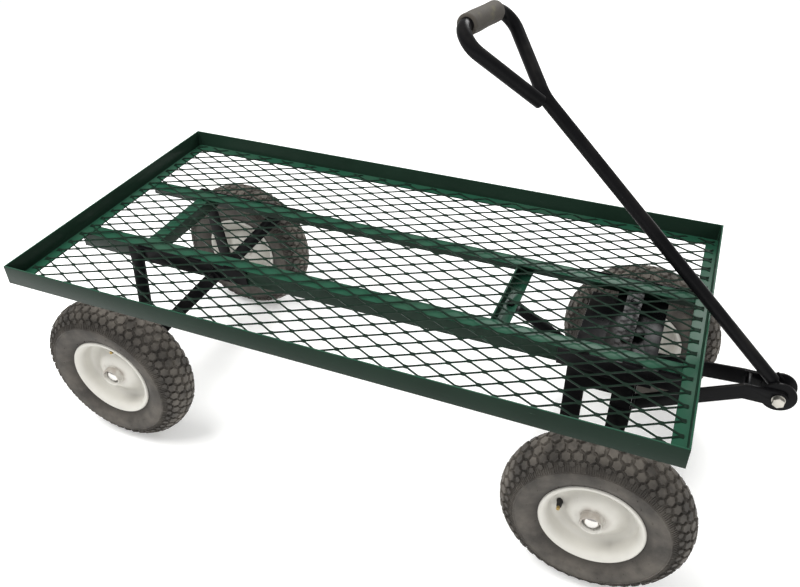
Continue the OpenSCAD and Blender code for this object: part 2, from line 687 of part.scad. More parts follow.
rim_left();
rim_right();
rim_front();
rim_rear();
deck_mesh();
rail_left();
rail_right();
rear_crossbar();
middle_crossbar();
front_bolster();
rear_side_bar_left();
rear_side_bar_right();
rear_post_left();
rear_post_right();
rear_brace_left();
rear_brace_right();
rear_axle();
rear_axle_sleeves();
front_side_bar_left();
front_side_bar_right();
fixed_plate();
king_bolt();
king_brace();
frame_bolts();
rear_caps();
rear_collars();
turn_plate();
truck_frame_left();
truck_frame_right();
truck_crossbar();
front_axle();
front_caps();
front_collars();
tongue_strap_left();
tongue_strap_right();
tongue_spacer();
tongue_bolts();
pivot_bolt();
handle_fork();
handle_tube();
handle_grip();
tyre_fl();
rim_fl();
hub_fl();
valve_fl();
tyre_fr();
rim_fr();
hub_fr();
valve_fr();
tyre_rl();
rim_rl();
hub_rl();
valve_rl();
tyre_rr();
rim_rr();
hub_rr();
valve_rr();
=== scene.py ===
"""Garden cart: the looks of a mesh-deck cart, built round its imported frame."""

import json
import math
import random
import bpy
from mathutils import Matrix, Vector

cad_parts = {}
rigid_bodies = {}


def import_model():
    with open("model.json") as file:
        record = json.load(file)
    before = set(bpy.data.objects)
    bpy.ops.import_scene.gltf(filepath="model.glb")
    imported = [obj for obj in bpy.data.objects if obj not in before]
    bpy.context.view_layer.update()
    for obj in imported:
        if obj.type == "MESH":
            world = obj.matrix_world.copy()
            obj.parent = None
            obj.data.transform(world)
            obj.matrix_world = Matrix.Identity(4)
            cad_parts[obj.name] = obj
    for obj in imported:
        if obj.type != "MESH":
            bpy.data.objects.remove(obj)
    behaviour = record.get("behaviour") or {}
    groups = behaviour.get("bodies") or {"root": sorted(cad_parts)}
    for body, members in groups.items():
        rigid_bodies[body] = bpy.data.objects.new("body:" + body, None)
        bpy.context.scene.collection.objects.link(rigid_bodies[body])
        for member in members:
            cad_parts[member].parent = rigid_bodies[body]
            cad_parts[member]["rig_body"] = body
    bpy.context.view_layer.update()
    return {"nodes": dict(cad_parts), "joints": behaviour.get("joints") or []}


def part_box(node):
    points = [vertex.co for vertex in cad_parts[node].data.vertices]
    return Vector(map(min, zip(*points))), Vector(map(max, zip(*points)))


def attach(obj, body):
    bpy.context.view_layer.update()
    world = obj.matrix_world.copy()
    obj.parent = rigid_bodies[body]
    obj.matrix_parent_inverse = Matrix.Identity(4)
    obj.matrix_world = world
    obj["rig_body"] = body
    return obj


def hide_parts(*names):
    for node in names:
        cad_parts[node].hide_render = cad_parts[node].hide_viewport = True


bl_info = {
    "name": "Garden Cart",
    "version": (1, 0, 0),
    "blender": (4, 5, 0),
    "location": "View3D > Sidebar > Cart",
    "description": "Builds the visible pieces of a mesh-deck garden cart",
    "category": "Add Mesh",
}

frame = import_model()

import bmesh
import bpy
from mathutils import Matrix, Vector

MM = 0.001
CORNERS = ("fl", "fr", "rl", "rr")

GREEN_BARS = (
    "rim_left", "rim_right", "rim_front", "rim_rear", "rail_left", "rail_right",
    "rear_crossbar", "middle_crossbar",
)
BLACK_BARS = (
    "rear_side_bar_left", "rear_side_bar_right", "rear_post_left", "rear_post_right",
    "rear_brace_left", "rear_brace_right", "rear_axle", "rear_axle_sleeves",
    "front_side_bar_left", "front_side_bar_right", "fixed_plate", "king_brace",
    "turn_plate", "truck_frame_left", "truck_frame_right", "truck_crossbar", "front_axle",
    "tongue_strap_left", "tongue_strap_right", "tongue_spacer", "front_bolster", "frame_bolts",
    "king_bolt",
)
ZINC_PARTS = ("rear_collars", "front_collars", "tongue_bolts", "pivot_bolt")


# ---- sizes and colours that a user would change ----


def size(name, text, default):
    """A length in metres, given here in millimetres."""
    return bpy.props.FloatProperty(name=name, description=text, default=default * MM, unit="LENGTH")


def colour(name, text, red, green, blue):
    """A linear colour."""
    return bpy.props.FloatVectorProperty(
        name=name, description=text, default=(red, green, blue), subtype="COLOR", min=0, max=1
    )


class CartSizes(bpy.types.PropertyGroup):
    """Sizes of the visible detail. The frame gives every other size and place."""

    bar_round: size("Bar edge", "Rounding on the edges of the steel bars", 0.9)
    mesh_long: size("Diamond length", "Long pitch of the expanded metal, along the cart", 61.2)
    mesh_short: size("Diamond width", "Short pitch of the expanded metal, across the cart", 32.6)
    mesh_shift: size("Pattern shift", "Shift of the diamonds towards the tongue", 13)
    mesh_slip: size("Side shift", "Shift of the diamonds to the right", 4.9)
    mesh_skew: bpy.props.FloatProperty(
        name="Pattern skew", description="Turn of the diamonds from square to the frame",
        default=math.radians(0.9), subtype="ANGLE",
    )
    strand_wide: size("Strand width", "Width of one strand, across the cart", 3.1)
    strand_thick: size("Strand thickness", "Thickness of the expanded sheet", 1.5)
    bond_long: size("Bond length", "Length of the bond where two strands meet", 7)
    strand_tilt: bpy.props.FloatProperty(
        name="Strand tilt", description="Slant of the strands", default=math.radians(17), subtype="ANGLE"
    )
    knob_wide: size("Knob width", "Distance over the points of one tread knob", 18.6)
    knob_high: size("Knob height", "Height of a tread knob above the casing", 4.6)
    knobs: bpy.props.IntProperty(
        name="Knobs", description="Tread knobs in one row", default=48, min=24, max=72
    )
    weld_wide: size("Weld width", "Width of a weld bead", 5)
    tube_wall: size("Tube wall", "Wall of the handle tube", 2)


class CartColours(bpy.types.PropertyGroup):
    """Base colours of the finishes."""

    green: colour("Green paint", "Deck frame, rails and mesh", 0.0085, 0.0200, 0.0130)
    # Painted light: a lit copy of the green paint, for faces that face up towards the light from above.
    painted_light_green: colour("Lit green", "Green paint where it faces up", 0.014, 0.062, 0.036)
    black: colour("Black paint", "Undercarriage, tongue and handle", 0.0032, 0.0032, 0.0036)
    almond: colour("Almond paint", "Wheel rims and hubs", 0.55, 0.535, 0.49)
    rubber: colour("Tyre rubber", "Tyres, under their dust", 0.030, 0.027, 0.024)
    dust: colour("Dust", "Dry dust on tyres and paint", 0.19, 0.17, 0.145)
    foam: colour("Grip foam", "Sleeve on the hand loop", 0.060, 0.054, 0.046)
    zinc: colour("Zinc", "Bolts, nuts and collars", 0.52, 0.50, 0.45)
    chrome: colour("Chrome", "Hub caps", 0.68, 0.66, 0.63)
    brass: colour("Brass", "Valve tips", 0.45, 0.33, 0.13)
    floor: colour("Floor", "Floor and backdrop", 0.86, 0.86, 0.85)


def sizes():
    """The cart's sizes in the open scene."""
    return bpy.context.scene.cart_sizes


def colours():
    """The cart's colours in the open scene."""
    return bpy.context.scene.cart_colours


# ---- modelling, as by hand ----


def pick(*pieces):
    """Selects only these pieces and makes the first one active."""
    bpy.ops.object.select_all(action="DESELECT")
    for piece in pieces:
        piece.select_set(True)
    bpy.context.view_layer.objects.active = pieces[0]


def begin(add, name, **settings):
    """Adds a primitive with nothing else selected."""
    bpy.ops.object.select_all(action="DESELECT")
    add(**settings)
    piece = bpy.context.object
    piece.name = piece.data.name = name
    return piece


class editing:
    """Edit mode on one piece, which starts with nothing selected."""

    def __init__(self, piece, kind="VERT"):
        self.piece = piece
        self.kind = kind

    def __enter__(self):
        pick(self.piece)
        bpy.ops.object.mode_set(mode="EDIT")
        self.by(self.kind)
        bpy.ops.mesh.select_all(action="DESELECT")
        return self

    def __exit__(self, *failure):
        bpy.ops.object.mode_set(mode="OBJECT")

    def by(self, kind):
        """Picks by VERT, EDGE or FACE from here on."""
        self.kind = kind
        bpy.ops.mesh.select_mode(type=kind)

    def choose(self, test):
        """Selects the vertices, edges or faces that pass the test, and nothing else."""
        bpy.ops.mesh.select_all(action="DESELECT")
        shape = bmesh.from_edit_mesh(self.piece.data)
        parts = {"VERT": shape.verts, "EDGE": shape.edges, "FACE": shape.faces}[self.kind]
        for part in parts:
            if test(part):
                part.select_set(True)
        shape.select_flush_mode()
        bmesh.update_edit_mesh(self.piece.data)

    def extrude(self, x, y, z):
        """Extrudes what is selected by an offset in metres."""
        bpy.ops.mesh.extrude_region_move(TRANSFORM_OT_translate={"value": (x, y, z)})

    def clean(self):
        """Merges doubles and turns every face outwards."""
        bpy.ops.mesh.select_all(action="SELECT")
        bpy.ops.mesh.remove_doubles(threshold=1e-6)
        bpy.ops.mesh.normals_make_consistent(inside=False)


def modify(piece, kind, **settings):
    """Adds a modifier and applies it."""
    pick(piece)
    modifier = piece.modifiers.new(kind.title(), kind)
    for setting, value in settings.items():
        setattr(modifier, setting, value)
    bpy.ops.object.modifier_apply(modifier=modifier.name)


def rounded(piece, width, angle=30, segments=2):
    """Rounds every edge that is sharper than the angle."""
    modify(
        piece, "BEVEL", width=width, segments=segments, limit_method="ANGLE",
        angle_limit=math.radians(angle), use_clamp_overlap=True,
    )


def smooth(piece, angle=35):
    """Smooth shading, with the edges sharper than the angle kept."""
    pick(piece)
    bpy.ops.object.shade_smooth_by_angle(angle=math.radians(angle))


def copy_of(piece, name):
    """The same shape in a mesh of its own."""
    twin = bpy.data.objects.new(name, piece.data.copy())
    twin.data.name = name
    bpy.context.scene.collection.objects.link(twin)
    return twin


def put(piece, matrix):
    """Moves a piece by the matrix and keeps its object at the origin."""
    pick(piece)
    piece.matrix_world = matrix
    bpy.ops.object.transform_apply(location=True, rotation=True, scale=True)
    return piece


def joined(name, pieces):
    """One piece out of several."""
    pick(*pieces)
    bpy.ops.object.join()
    whole = bpy.context.object
    whole.name = whole.data.name = name
    return whole


def ring_of(piece, count):
    """Repeats a piece round the Y axis."""
    turn = bpy.data.objects.new("turn", None)
    bpy.context.scene.collection.objects.link(turn)
    turn.rotation_euler = (0, math.tau / count, 0)
    bpy.context.view_layer.update()
    modify(
        piece, "ARRAY", count=count, use_relative_offset=False, use_object_offset=True, offset_object=turn
    )
    bpy.data.objects.remove(turn)
    return piece


def turned(name, outline, steps=64):
    """A shape of revolution round Y, from (radius, y) points in millimetres."""
    piece = begin(bpy.ops.mesh.primitive_plane_add, name, size=MM)
    with editing(piece) as edit:
        bpy.ops.mesh.select_all(action="SELECT")
        bpy.ops.mesh.merge(type="CENTER")
        first = Vector((outline[0][0] * MM, outline[0][1] * MM, 0))
        bpy.ops.transform.translate(value=first)
        for (r0, y0), (r1, y1) in zip(outline, outline[1:]):
            edit.extrude((r1 - r0) * MM, (y1 - y0) * MM, 0)
        bpy.ops.mesh.select_all(action="SELECT")
        bpy.ops.mesh.spin(steps=steps, angle=math.tau, center=(0, 0, 0), axis=(0, 1, 0))
        edit.clean()
    return piece


def from_node(node, name):
    """A merged copy of a CAD node's mesh, with flat faces made whole again."""
    piece = copy_of(frame["nodes"][node], name)
    piece.data.materials.clear()
    with editing(piece):
        bpy.ops.mesh.customdata_custom_splitnormals_clear()
        bpy.ops.mesh.select_all(action="SELECT")
        bpy.ops.mesh.remove_doubles(threshold=2e-6)
        bpy.ops.mesh.dissolve_limited(angle_limit=math.radians(0.5))
        bpy.ops.mesh.normals_make_consistent(inside=False)
    return piece


def body_of(node):
    """The body that a CAD node rides on."""
    return frame["nodes"][node]["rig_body"]


def finish_piece(piece, body, slot, material, *nodes):
    """Gives a piece its finish and its body, and hides the CAD nodes that it stands for."""
    piece.data.materials.clear()
    piece.data.materials.append(material)
    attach(piece, body)
    if nodes:
        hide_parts(*nodes)
    return piece


def middle(node):
    """The middle of a CAD node's box."""
    low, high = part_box(node)
    return (low + high) / 2


def joint_place(name):
    """Where a joint stands."""
    return Vector(next(j["pos_m"] for j in frame["joints"] if j["name"] == name))


# ---- finishes ----


class Signal:
    """A shader socket that adds its Math nodes as it is used in sums."""

    def __init__(self, finish, socket):
        self.finish = finish
        self.socket = socket

    def math(self, operation, *others, first=None):
        """A Math node on first, if given, this signal and the others."""
        values = ([] if first is None else [first]) + [self] + list(others)
        return self.finish.node("ShaderNodeMath", {"operation": operation}, dict(enumerate(values)))

    def __add__(self, other):
        return self.math("ADD", other)

    __radd__ = __add__

    def __mul__(self, other):
        return self.math("MULTIPLY", other)

    def __sub__(self, other):
        return self.math("SUBTRACT", other)

    def __rsub__(self, other):
        return self.math("SUBTRACT", first=other)

    def __pow__(self, other):
        return self.math("POWER", other)

    def above(self, low, high):
        """0 at low, 1 at high and a smooth step between them."""
        return self.finish.node(
            "ShaderNodeMapRange",
            {"interpolation_type": "SMOOTHSTEP"},
            {"Value": self, "From Min": low, "From Max": high},
        )


class Finish:
    """One node material on a Principled shader."""

    def __init__(self, name):
        self.material = bpy.data.materials.new(name)
        self.material.use_nodes = True
        self.nodes = self.material.node_tree.nodes
        self.links = self.material.node_tree.links
        self.shader = self.nodes["Principled BSDF"]

    def node(self, kind, settings=None, inputs=None, output=0):
        """Adds a node: its settings first, then values or links by socket name or number."""
        made = self.nodes.new(kind)
        for setting, value in (settings or {}).items():
            if setting == "stops":
                self.fill_ramp(made.color_ramp, value)
            else:
                setattr(made, setting, value)
        for socket, value in (inputs or {}).items():
            self.feed(made.inputs[socket], value)
        return Signal(self, made.outputs[output])

    def feed(self, socket, value):
        """Links a signal to a socket, or sets its value."""
        if isinstance(value, Signal):
            self.links.new(value.socket, socket)
        elif socket.type == "RGBA" and len(value) == 3:
            socket.default_value = (*value, 1)
        else:
            socket.default_value = value

    def fill_ramp(self, ramp, stops):
        """Sets a ramp's stops from (place, colour) pairs."""
        while len(ramp.elements) < len(stops):
            ramp.elements.new(0.5)
        for element, (place, tint) in zip(ramp.elements, stops):
            element.position = place
            element.color = (*tint, 1)

    def place(self):
        """The point on the object, in metres."""
        return self.node("ShaderNodeTexCoord", output="Object")

    def wheel_place(self):
        """The point on a wheel, in the wheel's own axes."""
        return self.node("ShaderNodeAttribute", {"attribute_name": "wheel_place"}, output="Vector")

    def wheel_radius(self):
        """The distance from the wheel's axle, in metres."""
        where = self.wheel_place()
        x = self.node("ShaderNodeSeparateXYZ", inputs={0: where}, output="X")
        z = self.node("ShaderNodeSeparateXYZ", inputs={0: where}, output="Z")
        return (x * x + z * z) ** 0.5

    def noise(self, where, scale, detail=3, roughness=0.55):
        """Noise from 0 to 1, with its scale in waves a metre."""
        return self.node(
            "ShaderNodeTexNoise",
            inputs={"Vector": where, "Scale": scale, "Detail": detail, "Roughness": roughness},
        )

    def stretched(self, where, x, y, z):
        """The same place with its axes scaled."""
        return self.node("ShaderNodeMapping", inputs={"Vector": where, "Scale": (x, y, z)})

    def mix(self, share, low, high):
        """A colour between two."""
        return self.node(
            "ShaderNodeMix", {"data_type": "RGBA"}, {0: share, 6: low, 7: high}, output=2
        )

    def upward(self):
        """1 where the surface faces up, 0 where it faces sideways or down."""
        normal = self.node("ShaderNodeNewGeometry", output="Normal")
        height = self.node("ShaderNodeSeparateXYZ", inputs={0: normal}, output="Z")
        return height.above(0.2, 0.95)

    def bump(self, height, strength, distance):
        """Feeds a height into the shader's normal."""
        self.feed(
            self.shader.inputs["Normal"],
            self.node(
                "ShaderNodeBump", inputs={"Strength": strength, "Distance": distance, "Height": height}
            ),
        )

    def set(self, **values):
        """Feeds the shader's sockets, named with underscores for spaces."""
        for name, value in values.items():
            self.feed(self.shader.inputs[name.replace("_", " ")], value)
        return self.material


FINISHES = {}


def once(make):
    """Makes a finish the first time and hands out the same one after that."""

    def given():
        if make.__name__ not in FINISHES:
            FINISHES[make.__name__] = make()
        return FINISHES[make.__name__]

    return given


@once
def green_powder_coat():
    """Glossy dark green powder coat with dust, rubbed spots and painted light on the faces that face up."""
    finish = Finish("green_powder_coat")
    where = finish.place()
    cloud = finish.noise(where, 9, 4)
    fine = finish.noise(where, 900, 2)
    rub = finish.noise(finish.stretched(where, 1, 6, 6), 40, 5, 0.7).above(0.66, 0.8)
    green = Vector(colours().green)
    side = finish.mix(cloud, green * 0.75, green * 1.4)
    # Painted light: faces that face up take the lit green, as if lit from above.
    base = finish.mix(finish.upward(), side, colours().painted_light_green)
    dusty = finish.mix(finish.upward() * cloud.above(0.45, 0.8) * 0.08, base, colours().dust)
    worn = finish.mix(rub * 0.30, dusty, (0.10, 0.16, 0.13))
    finish.bump(finish.noise(where, 420, 2), 0.16, 0.0004)
    return finish.set(
        Base_Color=worn, Roughness=0.22 + cloud * 0.14 + fine * 0.05 + rub * 0.12, Specular_IOR_Level=0.09
    )


@once
def mesh_powder_coat():
    """The sheet's coat, lighter where boots and loads have rubbed the strands."""
    finish = Finish("mesh_powder_coat")
    where = finish.place()
    cloud = finish.noise(where, 7, 4)
    wear = finish.noise(where, 70, 5, 0.65).above(0.52, 0.78)
    green = Vector(colours().green)
    base = finish.mix(cloud, green * 0.5, green * 1.2)
    worn = finish.mix(finish.upward() * wear * 0.3, base, (0.06, 0.12, 0.085))
    finish.bump(finish.noise(where, 500, 2), 0.2, 0.0003)
    return finish.set(Base_Color=worn, Roughness=0.26 + cloud * 0.16 + wear * 0.1, Specular_IOR_Level=0.12)


@once
def black_enamel():
    """Gloss black enamel with brown dust on top and fine scratches."""
    finish = Finish("black_enamel")
    where = finish.place()
    cloud = finish.noise(where, 14, 4)
    scratch = finish.noise(finish.stretched(where, 1, 9, 9), 60, 6, 0.72).above(0.64, 0.74)
    base = finish.mix(cloud, Vector(colours().black) * 0.7, Vector(colours().black) * 2)
    dusty = finish.mix(finish.upward() * cloud.above(0.45, 0.8) * 0.08, base, colours().dust)
    worn = finish.mix(scratch * 0.2, dusty, (0.10, 0.10, 0.11))
    finish.bump(finish.noise(where, 380, 2), 0.14, 0.0004)
    return finish.set(Base_Color=worn, Roughness=0.22 + cloud * 0.16 + scratch * 0.2, Specular_IOR_Level=0.07)


@once
def almond_enamel():
    """Off-white wheel enamel with rust marks and painted shade near the hub, and grime in the trough."""
    finish = Finish("almond_enamel")
    where = finish.wheel_place()
    radius = finish.wheel_radius()
    cloud = finish.noise(where, 30, 5)
    spots = finish.noise(where, 120, 4, 0.7).above(0.66, 0.78)
    streak = finish.noise(finish.stretched(where, 1, 1, 4), 55, 5, 0.7).above(0.62, 0.8)
    # Near the hub, brown rust marks together with painted shade at the collar's foot and in the gap round its
    # weld, broken up by noise.
    hub_rust_and_shade = (1 - radius.above(0.020, 0.034)) * cloud.above(0.42, 0.68)
    lip_dirt = radius.above(0.0835, 0.0865) * cloud.above(0.5, 0.7)
    almond = Vector(colours().almond)
    base = finish.mix(cloud, almond * 0.9, almond * 1.1)
    # The hub mark mixes rust with painted shade; the lip mark is grime.
    grimy_and_shaded = finish.mix(hub_rust_and_shade * 0.55 + lip_dirt * 0.25, base, (0.13, 0.085, 0.055))
    marked = finish.mix(spots * 0.28 + streak * 0.10, grimy_and_shaded, (0.20, 0.18, 0.15))
    finish.bump(cloud + spots * 0.4, 0.12, 0.0006)
    return finish.set(Base_Color=marked, Roughness=0.36 + cloud * 0.18, Coat_Weight=0.15, Coat_Roughness=0.3)


@once
def dusty_rubber():
    """Grey-brown tyre rubber: dust on the knobs and walls, dark grooves."""
    finish = Finish("dusty_rubber")
    where = finish.wheel_place()
    radius = finish.wheel_radius()
    cloud = finish.noise(where, 22, 5)
    grain = finish.noise(where, 420, 3)
    knob_tops = radius.above(0.140, 0.158)
    wall_dust = (1 - radius.above(0.125, 0.142)) * 0.35
    bead_dark = 1 - radius.above(0.089, 0.104)
    rubber = Vector(colours().rubber)
    base = finish.mix(grain, rubber * 0.7, rubber * 1.5)
    share = cloud.above(0.25, 0.8) * (0.24 + knob_tops * 0.62 + wall_dust * 0.8) * (1 - bead_dark * 0.7)
    dusted = finish.mix(share, base, colours().dust)
    flecks = finish.noise(where, 240, 2, 0.8).above(0.74, 0.8)
    specked = finish.mix(flecks * 0.25, dusted, (0.28, 0.25, 0.21))
    finish.bump(grain + cloud * 0.6, 0.35, 0.0005)
    return finish.set(Base_Color=specked, Roughness=0.62 + cloud * 0.22, Specular_IOR_Level=0.35)


@once
def valve_rubber():
    """Clean black rubber of the valve stems."""
    finish = Finish("valve_rubber")
    grain = finish.noise(finish.place(), 500, 3)
    tint = finish.mix(grain, (0.006, 0.006, 0.006), (0.02, 0.019, 0.018))
    finish.bump(grain, 0.2, 0.0003)
    return finish.set(Base_Color=tint, Roughness=0.4 + grain * 0.2)


@once
def grip_foam():
    """Grey-brown sleeve with faint yellow stains and lengthwise rubbing."""
    finish = Finish("grip_foam")
    where = finish.place()
    pores = finish.noise(where, 1100, 3, 0.7)
    cloud = finish.noise(where, 38, 4)
    stain = finish.noise(finish.stretched(where, 1, 0.6, 1), 34, 3).above(0.56, 0.72)
    foam = Vector(colours().foam)
    base = finish.mix(cloud, foam * 0.8, foam * 1.35)
    stained = finish.mix(stain * 0.4, base, (0.15, 0.14, 0.075))
    finish.bump(pores + cloud * 0.5, 0.4, 0.0005)
    return finish.set(Base_Color=stained, Roughness=0.72 + cloud * 0.14, Specular_IOR_Level=0.3)


def metal(name, tint, rough, scratch_scale):
    """Bare or plated metal with brushed variation and brown spots."""
    finish = Finish(name)
    where = finish.place()
    brushed = finish.noise(finish.stretched(where, 1, 1, 8), scratch_scale, 4, 0.7)
    spots = finish.noise(where, 210, 4).above(0.62, 0.78)
    base = finish.mix(brushed, Vector(tint) * 0.75, Vector(tint) * 1.2)
    spotted = finish.mix(spots * 0.35, base, (0.14, 0.085, 0.05))
    finish.bump(brushed, 0.12, 0.0003)
    return finish.set(Base_Color=spotted, Metallic=1 - spots * 0.5, Roughness=rough + brushed * 0.16)


@once
def zinc_plate():
    """Zinc-plated bolts, nuts and collars."""
    return metal("zinc_plate", colours().zinc, 0.26, 300)


@once
def chrome_plate():
    """Bright hub caps with a painted dark reflection towards their edge."""
    finish = Finish("chrome_plate")
    # Painted reflection: the caps darken where they turn away from the camera, as a chrome dome reflecting
    # dark surroundings would.
    edge = finish.node("ShaderNodeLayerWeight", inputs={"Blend": 0.42}, output="Facing")
    haze = finish.noise(finish.place(), 160, 4)
    tint = finish.mix(edge.above(0.3, 0.8), colours().chrome, (0.07, 0.06, 0.055))
    spotted = finish.mix(haze.above(0.6, 0.8) * 0.3, tint, (0.16, 0.11, 0.08))
    return finish.set(Base_Color=spotted, Metallic=0.94, Roughness=0.07 + haze * 0.1)


@once
def brass_plate():
    """Brass valve tips."""
    return metal("brass_plate", colours().brass, 0.25, 300)


@once
def pale_floor():
    """Plain pale floor."""
    finish = Finish("pale_floor")
    shade = finish.noise(finish.place(), 2, 2)
    floor = Vector(colours().floor)
    return finish.set(
        Base_Color=finish.mix(shade, floor * 0.99, floor * 1.01), Roughness=0.7,
        Emission_Color=colours().floor, Emission_Strength=0.3,
    )


# ---- pieces ----


class CartOperator(bpy.types.Operator):
    """What every operator of the cart shares."""

    bl_options = {"REGISTER", "UNDO"}


class CART_OT_bars(CartOperator):
    """Deck frame, rails, undercarriage and tongue: steel bars with rounded edges"""

    bl_idname = "cart.bars"
    bl_label = "Steel Bars"

    def execute(self, context):
        for nodes, slot, material in (
            (GREEN_BARS, "green_paint", green_powder_coat()),
            (BLACK_BARS, "black_paint", black_enamel()),
            (ZINC_PARTS, "zinc_steel", zinc_plate()),
        ):
            for node in nodes:
                piece = from_node(node, node + "_steel")
                rounded(piece, sizes().bar_round * (0.5 if slot == "zinc_steel" else 1))
                smooth(piece)
                finish_piece(piece, body_of(node), slot, material, node)
        return {"FINISHED"}


class CART_OT_mesh(CartOperator):
    """Expanded-metal sheet: slanted strands that run from bond to bond"""

    bl_idname = "cart.mesh"
    bl_label = "Expanded Metal"

    def execute(self, context):
        low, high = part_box("deck_mesh")
        half_x = sizes().mesh_long / 2
        half_y = sizes().mesh_short / 2
        wide = sizes().strand_wide
        bond = sizes().bond_long
        rise = wide * math.tan(sizes().strand_tilt)
        cell = self.unit_cell(bond, wide, rise, half_x, half_y)
        count_x = math.ceil((high.x - low.x) / (2 * half_x)) + 2
        count_y = math.ceil((high.y - low.y) / (2 * half_y)) + 4
        for offset, count in (((2 * half_x, 0, 0), count_x), ((0, 2 * half_y, 0), count_y)):
            modify(
                cell, "ARRAY", count=count, use_relative_offset=False, use_constant_offset=True,
                constant_offset_displace=offset, use_merge_vertices=True, merge_threshold=1e-5,
            )
        centre = (low + high) / 2
        start_x = centre.x + sizes().mesh_shift - half_x * 2 * (count_x // 2) + half_x
        start_y = -half_y * 2 * (count_y // 2)
        put(cell, Matrix.Translation((start_x, start_y - sizes().mesh_slip, centre.z)))
        put(cell, Matrix.Rotation(sizes().mesh_skew, 4, "Z"))
        self.trim(cell, low, high)
        modify(cell, "SOLIDIFY", thickness=sizes().strand_thick, offset=0, use_even_offset=False)
        finish_piece(cell, "frame", "green_paint", mesh_powder_coat(), "deck_mesh")
        return {"FINISHED"}

    def unit_cell(self, bond, wide, rise, half_x, half_y):
        """Two bonds and the four strands that leave them towards the tongue."""
        cell = begin(bpy.ops.mesh.primitive_plane_add, "deck_sheet", size=1)
        with editing(cell, "EDGE") as edit:
            bpy.ops.mesh.select_all(action="SELECT")
            bpy.ops.transform.resize(value=(bond, 2 * wide, 1), center_override=(0, 0, 0))
            bpy.ops.mesh.bisect(plane_co=(0, 0, 0), plane_no=(0, 1, 0))
            edit.by("VERT")
            for side in (1, -1):
                edit.choose(lambda v, side=side: v.co.y * side > wide / 2)
                bpy.ops.transform.translate(value=(0, 0, side * rise))
            edit.by("EDGE")
            for side in (1, -1):
                edit.choose(
                    lambda e, side=side: all(v.co.x > bond * 0.4 for v in e.verts)
                    and sum(v.co.y for v in e.verts) * side > 0
                )
                edit.extrude(half_x - bond, side * (half_y - wide), -side * rise)
            bpy.ops.mesh.select_all(action="SELECT")
            bpy.ops.mesh.duplicate_move(TRANSFORM_OT_translate={"value": (half_x, half_y, 0)})
            bpy.ops.mesh.select_all(action="SELECT")
            bpy.ops.mesh.remove_doubles(threshold=1e-5)
        return cell

    def trim(self, sheet, low, high):
        """Cuts the pattern off at the sheet's edges."""
        with editing(sheet):
            for corner, normal in (
                (high, (1, 0, 0)), (low, (-1, 0, 0)), (high, (0, 1, 0)), (low, (0, -1, 0)),
            ):
                bpy.ops.mesh.select_all(action="SELECT")
                bpy.ops.mesh.bisect(plane_co=corner, plane_no=normal, clear_outer=True)


